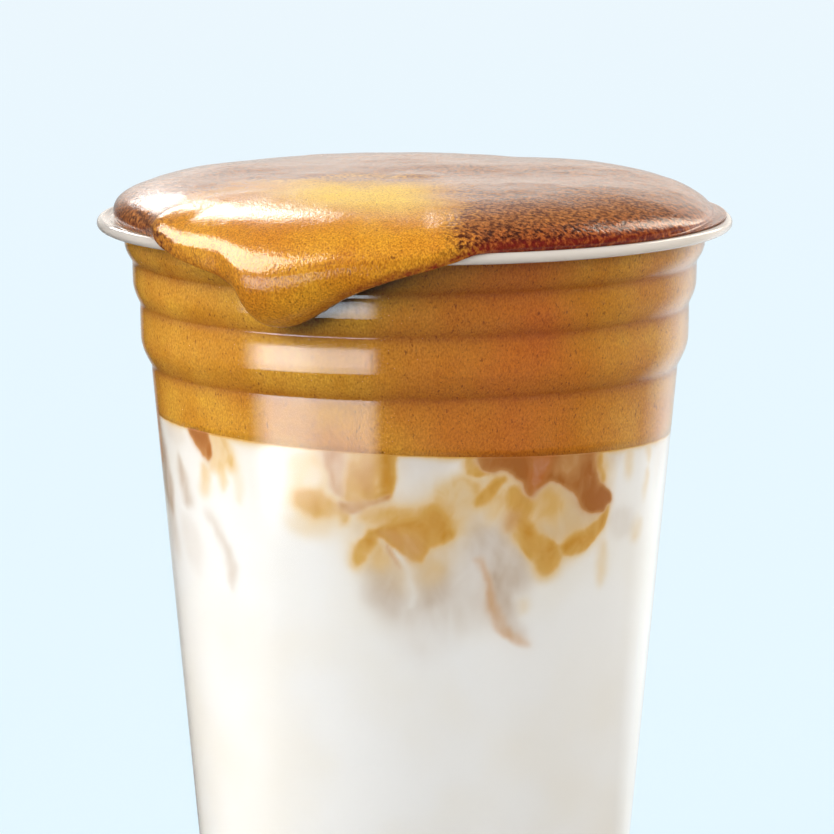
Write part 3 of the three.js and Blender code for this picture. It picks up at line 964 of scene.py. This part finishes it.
# Kind of cloud, the shares between which its colour comes in, and the colour
CLOUD_TINTS = [
    ("veil", 0.0, 1.0, "C6B3A0"),
    ("gold", 0.0, 0.65, "E7C67E"),
    ("gold", 0.45, 1.0, "CE9632"),
    ("brown", 0.0, 0.5, "D2A268"),
    ("brown", 0.35, 0.85, "B3743A"),
    ("red", 0.0, 0.7, "C06826"),
]


def cold_milk():
    # Cold milk: opaque warm white with a soft wet gloss. Coffee sinks into it in plumes that are
    # golden where thin, brown where thick and mauve where milk lies over them.
    made, tree = new_material("cold_milk_with_coffee")
    coords = node(tree, "ShaderNodeTexCoord").outputs["Object"]
    drawn = node(tree, "ShaderNodeMapping", {"Vector": coords, "Scale": (1, 1, 0.7)})
    threads = node(tree, "ShaderNodeTexNoise", {
        "Vector": drawn,
        "Scale": 1 / THREAD,
        "Detail": 3.0,
        "Distortion": 0.9,
    })
    ragged = node(tree, "ShaderNodeMapRange", {0: threads, 1: 0.3, 2: 0.7, 3: 0.84, 4: 1.14})
    drift = node(tree, "ShaderNodeTexNoise", {"Vector": coords, "Scale": 1 / DRIFT})
    drift = node(tree, "ShaderNodeMapRange", {0: drift, 1: 0.4, 2: 0.7})
    colour = painted(tree, "F5F6F8", (drift, "F3F2F0"))
    for kind, low, high, tint in CLOUD_TINTS:
        share = node(tree, "ShaderNodeAttribute", attribute_name=kind).outputs["Fac"]
        share = node(tree, "ShaderNodeMath", {0: share, 1: ragged}, operation="MULTIPLY")
        share = node(tree, "ShaderNodeMapRange", {0: share, 1: low, 2: high})
        colour = painted(tree, colour, (share, tint))
    body = node(tree, "ShaderNodeBsdfPrincipled", {
        "Base Color": colour,
        "Roughness": 0.5,
        "IOR": 1.34,
        "Specular IOR Level": 0.2,
    })
    node(tree, "ShaderNodeOutputMaterial", {"Surface": body})
    return made


def coffee_foam():
    # Whipped coffee foam: dense golden froth with a fine upright grain and dark pits, and a browner,
    # drier crust on top, darkest round the front edge. A thin wet film makes it glossy.
    made, tree = new_material("whipped_coffee_foam")
    coords = node(tree, "ShaderNodeTexCoord").outputs["Object"]
    upright = node(tree, "ShaderNodeMapping", {"Vector": coords, "Scale": (1, 1, 0.6)})
    grain, pits, blotches, clouds = [
        node(tree, "ShaderNodeTexNoise", {"Vector": place, "Scale": 1 / width, "Detail": detail})
        for place, width, detail in (
            (upright, GRAIN, 1.0),
            (upright, PIT, 2.0),
            (coords, BLOTCH, 3.0),
            (coords, CLOUD, 3.0),
        )
    ]
    deep, crease, shaded, crown, crust, roasted, in_cup, under = [
        node(tree, "ShaderNodeAttribute", attribute_name=name).outputs["Fac"]
        for name in ("deep", "crease", "shaded", "crown", "crust", "roasted", "in_cup", "under")
    ]
    # Shares that the patterns give: what is read, from low to high, and the shares there
    clouded, browned, charred, specks, lower_edge_blotches, pitted, bubbled, filmed = [
        node(tree, "ShaderNodeMapRange", {0: source, 1: low, 2: high, 3: first, 4: last})
        for source, low, high, first, last in (
            (clouds, 0.35, 0.65, 0.0, 1.0),
            (blotches, 0.64, 0.38, 0.0, 1.0),
            (blotches, 0.62, 0.40, 0.0, 1.0),
            (blotches, 0.3, 0.7, 0.3, -0.3),
            (blotches, 0.35, 0.6, 0.95, 0.55),
            (pits, 0.38, 0.26, 0.0, 0.75),
            (grain, 0.3, 0.7, 0.0, 1.0),
            (crown, 0.0, 1.0, 0.9, 0.2),
        )
    ]
    thick_and_shaded_creases, shadowed, dark_lower_edge, muted = [
        node(tree, "ShaderNodeMath", {0: share, 1: strength}, operation="MULTIPLY")
        for share, strength in ((crease, 0.45), (shaded, 0.92), (under, lower_edge_blotches), (in_cup, 0.4))
    ]
    # Painted shade on the golden foam in the cup: part of its darker front right, the creases, and the
    # shadow below the overflow
    golden = painted(
        tree, "DDAA34", (clouded, "D0941E"), (deep, "CE7624"), (thick_and_shaded_creases, "8F4716"), (shadowed, "2E1006"),
    )
    lip = painted(tree, "E2A028", (clouded, "D4881C"), (crown, "F4CA52"))
    baked = painted(tree, "C98240", (browned, "6A3412"))
    charcoal = painted(tree, "A85824", (charred, "300C06"))
    # The crust breaks up into specks where it meets the fresh foam.
    speckled = node(tree, "ShaderNodeMath", {0: crust, 1: specks})
    speckled = node(tree, "ShaderNodeMapRange", {0: speckled, 1: 0.2, 2: 0.8})
    top = painted(tree, lip, (speckled, painted(tree, baked, (roasted, charcoal))))
    skin = painted(tree, top, (in_cup, golden), (dark_lower_edge, "7E1E16"), (pitted, "6E3410"))
    # Hollows between the bubbles are redder as well as darker than the bubbles' tops. The shade's
    # colours are two thirds as bright as they act, so that the brightest is white.
    shade = painted(tree, "B8A597", (bubbled, "EDF6FF"), (muted, "D5D5D5"))
    shade = node(tree, "ShaderNodeVectorMath", {0: shade, "Scale": 1.5}, operation="SCALE")
    skin = node(tree, "ShaderNodeMix", {
        "Factor": 1.0,
        6: skin,
        7: shade,
    }, data_type="RGBA", blend_type="MULTIPLY")
    coarse = node(tree, "ShaderNodeBump", {"Strength": 0.3, "Distance": 0.2 * MM, "Height": blotches})
    fine, film = [
        node(tree, "ShaderNodeBump", {
            "Strength": strength,
            "Distance": 0.1 * MM,
            "Height": grain,
            "Normal": coarse,
        })
        for strength in (0.6, 0.3)
    ]
    body = node(tree, "ShaderNodeBsdfPrincipled", {
        "Base Color": skin,
        "Roughness": 0.5,
        "IOR": 1.4,
        "Specular IOR Level": 0.15,
        "Coat Weight": filmed,
        "Coat Roughness": 0.08,
        "Coat IOR": 1.42,
        "Normal": fine,
        "Coat Normal": film,
    })
    node(tree, "ShaderNodeOutputMaterial", {"Surface": body})
    return made


# Stage: a pale floor, soft lights and the camera

CUP_MIDDLE = Vector((0, 0, 0.1))
AMBIENT = 0.56
SURROUND_BRIGHTNESS = 1.3
FLOOR_HALF_SIDE = 12.0
# Cards on the floor, seen in the bands of the cup's wall: brightness, and edges by azimuth in degrees
# or distance in metres, each a range and the share of light at its two ends
FLOOR_CARDS = [
    (7.0, [
        ("azimuth", -76, -60, 0.0, 1.0),
        ("azimuth", -50, -36, 1.0, 0.66),
        ("azimuth", -13, -20, 0.0, 1.0),
        ("distance", 0.262, 0.29, 0.0, 1.0),
        ("distance", 0.4, 0.58, 1.0, 1.5),
        ("distance", 0.672, 0.694, 1.0, 0.08),
        ("distance", 0.76, 0.85, 1.0, 0.0),
    ]),
    (0.6, [
        ("azimuth", 70, 130, 0.0, 1.0),
        ("azimuth", 165, 145, 0.0, 1.0),
        ("distance", 0.12, 0.3, 0.3, 1.0),
    ]),
]


def share_behind(tree, direction):
    """1 for what reflects from far behind the cup, and a little more so on its right, else 0."""
    flat = node(tree, "ShaderNodeVectorMath", {0: direction, 1: (1, 1, 0)}, operation="MULTIPLY")
    ahead = node(tree, "ShaderNodeVectorMath", {0: flat}, operation="NORMALIZE")
    along = node(tree, "ShaderNodeVectorMath", {0: ahead, 1: (0.35, 1, 0)}, operation="DOT_PRODUCT")
    return node(tree, "ShaderNodeMapRange", {0: along, 1: 0.78, 2: 0.98})


def mirrors(tree):
    """1 for a ray that gloss throws back, and 0 for light that has come through the cup's wall."""
    path = node(tree, "ShaderNodeLightPath").outputs
    passed = node(tree, "ShaderNodeMath", {0: 1.0, 1: path["Is Transmission Ray"]}, operation="SUBTRACT")
    return node(tree, "ShaderNodeMath", {0: path["Is Glossy Ray"], 1: passed}, operation="MULTIPLY")


def cards_round_the_cup(tree, coords):
    """Brightness of the cards at a place on the floor."""
    place = node(tree, "ShaderNodeSeparateXYZ", {0: coords}).outputs
    front = node(tree, "ShaderNodeMath", {0: place["Y"], 1: -1.0}, operation="MULTIPLY")
    turn = node(tree, "ShaderNodeMath", {0: place["X"], 1: front}, operation="ARCTAN2")
    away = node(tree, "ShaderNodeVectorMath", {0: coords}, operation="LENGTH")
    measures = {"azimuth": (turn, math.radians(1)), "distance": (away, 1.0)}
    total = 0.0
    for brightness, edges in FLOOR_CARDS:
        card = brightness
        for measure, low, high, first, last in edges:
            source, unit = measures[measure]
            edge = node(tree, "ShaderNodeMapRange", {
                0: source,
                1: low * unit,
                2: high * unit,
                3: first,
                4: last,
            }, interpolation_type="SMOOTHSTEP")
            card = node(tree, "ShaderNodeMath", {0: card, 1: edge}, operation="MULTIPLY")
        total = node(tree, "ShaderNodeMath", {0: total, 1: card}, operation="ADD")
    return total


def pale_floor():
    # Opal acrylic lit from beneath: pale blue and even, with faint shadows. Matt surfaces get a dimmer
    # bounce from it, and gloss sees it bright only far behind the cup, as in a studio that is dark
    # round the camera, and where two soft-edged white cards lie, front left and right.
    made, tree = new_material("opal_acrylic_table")
    coords = node(tree, "ShaderNodeTexCoord").outputs["Object"]
    away = node(tree, "ShaderNodeVectorMath", {0: coords}, operation="LENGTH")
    far = node(tree, "ShaderNodeMapRange", {0: away, 1: 0.1, 2: 1.7})
    glow = node(tree, "ShaderNodeEmission", {"Color": painted(tree, "D4E7F0", (far, "DFEAF0"))})
    face = node(tree, "ShaderNodeBsdfDiffuse", {"Color": linear("62666A")})
    seen = node(tree, "ShaderNodeAddShader", {0: glow, 1: face})
    gloss = mirrors(tree)
    mirrored = painted(tree, "2C2C2D", (share_behind(tree, coords), "E4EEF3"))
    matt = node(tree, "ShaderNodeBsdfDiffuse", {"Color": painted(tree, "A4A4A4", (gloss, mirrored))})
    strength = node(tree, "ShaderNodeMath", {
        0: cards_round_the_cup(tree, coords),
        1: gloss,
    }, operation="MULTIPLY")
    cards = node(tree, "ShaderNodeEmission", {"Color": linear("EAF3FA"), "Strength": strength})
    unseen = node(tree, "ShaderNodeAddShader", {0: matt, 1: cards})
    camera_ray = node(tree, "ShaderNodeLightPath").outputs["Is Camera Ray"]
    shown = node(tree, "ShaderNodeMixShader", {0: camera_ray, 1: unseen, 2: seen})
    made.cycles.emission_sampling = "NONE"
    node(tree, "ShaderNodeOutputMaterial", {"Surface": shown})
    return made


def make_floor():
    side = FLOOR_HALF_SIDE
    corners = [(-side, -side, 0), (side, -side, 0), (side, side, 0), (-side, side, 0)]
    made = mesh_object("studio_floor", corners, [(0, 1, 2, 3)])
    made.data.materials.append(pale_floor())


def studio_surroundings():
    """Light from all round: even for matt surfaces, and for gloss bright only far behind the cup."""
    world = bpy.data.worlds.new("studio")
    world.use_nodes = True
    tree = world.node_tree
    tree.nodes.clear()
    direction = node(tree, "ShaderNodeTexCoord").outputs["Generated"]
    height = node(tree, "ShaderNodeSeparateXYZ", {0: direction}).outputs["Z"]
    low = node(tree, "ShaderNodeMapRange", {0: height, 1: 0.36, 2: 0.1})
    lit = node(tree, "ShaderNodeMath", {0: share_behind(tree, direction), 1: low}, operation="MULTIPLY")
    mirrored = node(tree, "ShaderNodeBackground", {
        "Color": painted(tree, "202022", (lit, "F8F2EA")),
        "Strength": SURROUND_BRIGHTNESS,
    })
    even = node(tree, "ShaderNodeBackground", {"Color": linear("FFFFFF"), "Strength": AMBIENT})
    light = node(tree, "ShaderNodeMixShader", {0: mirrors(tree), 1: even, 2: mirrored})
    node(tree, "ShaderNodeOutputWorld", {"Surface": light})
    bpy.context.scene.world = world


def lamp(name, place, aim, width, height, brightness, seen_by, colour="FFFFFF"):
    """A soft rectangular lamp that lights matt surfaces ("matt") or shows in gloss ("gloss"). The matt
    ones aren't sampled by their shape, because their light passes the cup's wall as a shadow ray."""
    data = bpy.data.lights.new(name, "AREA")
    data.shape = "RECTANGLE"
    data.size, data.size_y = width, height
    data.energy = brightness * math.pi * width * height
    data.color = linear(colour)[:3]
    made = bpy.data.objects.new(name, data)
    bpy.context.scene.collection.objects.link(made)
    made.location = place
    made.rotation_euler = (Vector(aim) - Vector(place)).to_track_quat("-Z", "Y").to_euler()
    made.visible_camera = False
    made.visible_diffuse = seen_by == "matt"
    made.visible_glossy = seen_by == "gloss"
    made.visible_transmission = False
    data.cycles.use_multiple_importance_sampling = seen_by == "gloss"


def round_the_cup(azimuth, distance, height):
    turn = math.radians(azimuth)
    return Vector((distance * math.sin(turn), -distance * math.cos(turn), height))


def above_the_cup(azimuth, elevation):
    """A place 1 m from the middle of the cup."""
    rise = math.radians(elevation)
    return round_the_cup(azimuth, math.cos(rise), CUP_MIDDLE.z + math.sin(rise))


def make_lights():
    lamp("key_softbox", round_the_cup(-44, 0.9, 0.4), CUP_MIDDLE, 0.6, 0.6, 3.4, "matt", "FFFCFA")
    lamp("overhead_softbox", (0, 0.3, 2.4), (0, 0, 0), 3.4, 3.4, 0.8, "matt")
    lamp("right_softbox", round_the_cup(80, 0.9, 0.3), CUP_MIDDLE, 0.5, 0.55, 5.4, "matt", "FFF3E4")
    # Cards that only the foam's gloss sees
    lamp("rear_left_card", above_the_cup(-165, 28), CUP_MIDDLE, 0.28, 0.36, 9, "gloss", "FFFCF8")
    lamp("rear_card", above_the_cup(180, 30), CUP_MIDDLE, 0.12, 0.04, 3, "gloss")
    lamp("rear_right_card", above_the_cup(146, 30), CUP_MIDDLE, 0.2, 0.6, 6.5, "gloss", "FFF0DC")
    lamp("left_card", above_the_cup(-74, 31), CUP_MIDDLE, 1.0, 0.86, 17, "gloss", "FFF2DE")


PHOTO_SIDE = 834
PIXELS_PER_METRE = 6460.0
CAMERA_DISTANCE = 1.2
CAMERA_DOWN = math.radians(8.4)
CAMERA_AIM = Vector((0.00037, 0, 0.08953))


def make_camera():
    data = bpy.data.cameras.new("photo_camera")
    data.sensor_width = 36.0
    data.lens = PIXELS_PER_METRE * CAMERA_DISTANCE * data.sensor_width / PHOTO_SIDE
    data.clip_start = 0.1
    data.clip_end = 40.0
    made = bpy.data.objects.new("photo_camera", data)
    bpy.context.scene.collection.objects.link(made)
    back = Vector((0, -math.cos(CAMERA_DOWN), math.sin(CAMERA_DOWN)))
    made.location = CAMERA_AIM + back * CAMERA_DISTANCE
    made.rotation_euler = (math.pi / 2 - CAMERA_DOWN, 0, 0)
    bpy.context.scene.camera = made


scene = bpy.context.scene
scene.view_settings.view_transform = "Standard"

wall_finish = clear_pet()
cup = turned_piece("clear_cup", cup_section(), CUP_SEGMENTS, wall_finish)
finish_in_two(cup, wall_finish, rolled_rim_pet())
milk = make_milk(cold_milk())
foam = make_foam(coffee_foam())
for piece, stands_for, finish in (
    (cup, "cup", "clear_cup"),
    (milk, "milk", "milk"),
    (foam, "coffee_foam", "coffee_foam"),
):
    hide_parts(stands_for)
    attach(piece, "root")

make_floor()
studio_surroundings()
make_lights()
make_camera()
